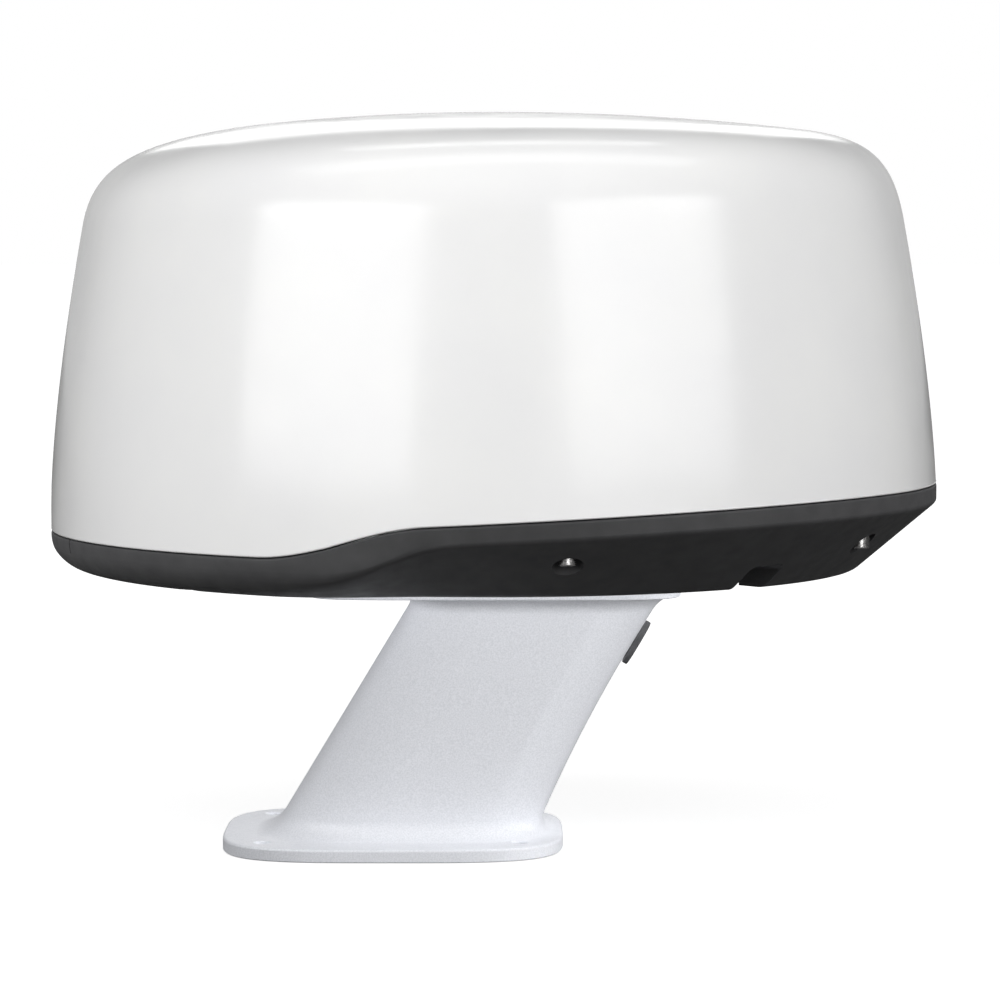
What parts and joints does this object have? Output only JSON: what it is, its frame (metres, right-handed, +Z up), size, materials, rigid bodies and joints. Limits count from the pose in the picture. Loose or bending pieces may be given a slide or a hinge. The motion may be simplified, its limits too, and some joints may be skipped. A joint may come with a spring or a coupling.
{
  "type": "radar dome antenna",
  "caption": "Enclosed marine radar antenna: a white domed cover on a dark lower housing, carried by a cast mast mount that leans aft, with a belt-driven antenna turning inside.",
  "frame": {"origin": "on the antenna's axis of rotation, at the deck under the mast mount's base plate", "axes": "+Z up, +X aft, +Y to starboard; the bow is at -X"},
  "size_m": [0.508, 0.508, 0.4205],
  "materials": {
    "dome_white": "high-gloss white gelcoat",
    "housing_grey": "satin dark grey moulding with a fine grain",
    "powder_coat": "white powder coat on cast aluminium",
    "rubber_black": "matt moulded rubber",
    "stainless": "turned stainless steel",
    "aluminium": "machined and clear-chromated aluminium",
    "motor_black": "black enamel",
    "board_green": "green solder mask",
    "plastic_black": "black moulded nylon",
    "copper_alloy": "turned and plated copper alloy"
  },
  "bodies": {
    "root": {"tower": "powder_coat", "cable_grommet": "rubber_black", "lower_housing": "housing_grey", "dome": "dome_white", "dome_seal": "rubber_black", "dome_screw_1": "stainless", "dome_screw_2": "stainless", "dome_screw_3": "stainless", "dome_screw_4": "stainless", "dome_screw_5": "stainless", "dome_screw_6": "stainless", "radome_bolt_1": "stainless", "radome_bolt_2": "stainless", "radome_bolt_3": "stainless", "radome_bolt_4": "stainless", "chassis_screw_1": "stainless", "chassis_screw_2": "stainless", "chassis_screw_3": "stainless", "chassis_screw_4": "stainless", "power_socket": "plastic_black", "network_socket": "plastic_black", "breather_vent": "plastic_black", "chassis_plate": "aluminium", "bearing_post": "aluminium", "lower_bearing": "stainless", "upper_bearing": "stainless", "retaining_ring": "stainless", "stepper_motor": "motor_black", "motor_bracket": "aluminium", "drive_belt": "rubber_black", "rotary_joint_stator": "copper_alloy", "transceiver_coax": "plastic_black", "transceiver_case": "aluminium", "transceiver_lid": "aluminium", "transceiver_board": "board_green", "power_board": "board_green", "index_sensor": "plastic_black"},
    "antenna": {"turntable_hub": "aluminium", "driven_pulley": "plastic_black", "index_magnet": "stainless", "antenna_bracket": "aluminium", "bracket_screw_1": "stainless", "bracket_screw_2": "stainless", "bracket_screw_3": "stainless", "array_tray": "aluminium", "array_board": "board_green", "rotary_joint_rotor": "copper_alloy", "array_feed_cable": "plastic_black"},
    "motor_rotor": {"motor_shaft": "stainless", "motor_pulley": "aluminium"}
  },
  "joints": [
    {"name": "antenna_spin", "type": "hinge", "parent": "root", "child": "antenna", "pos_m": [0, 0, 0.24], "axis": [0, 0, 1], "continuous": true},
    {"name": "motor_spin", "type": "hinge", "parent": "root", "child": "motor_rotor", "pos_m": [0.085, 0, 0.235], "axis": [0, 0, 1], "continuous": true}
  ],
  "couplings": [
    {"joint": "motor_spin", "follows": "antenna_spin", "ratio": 5}
  ]
}
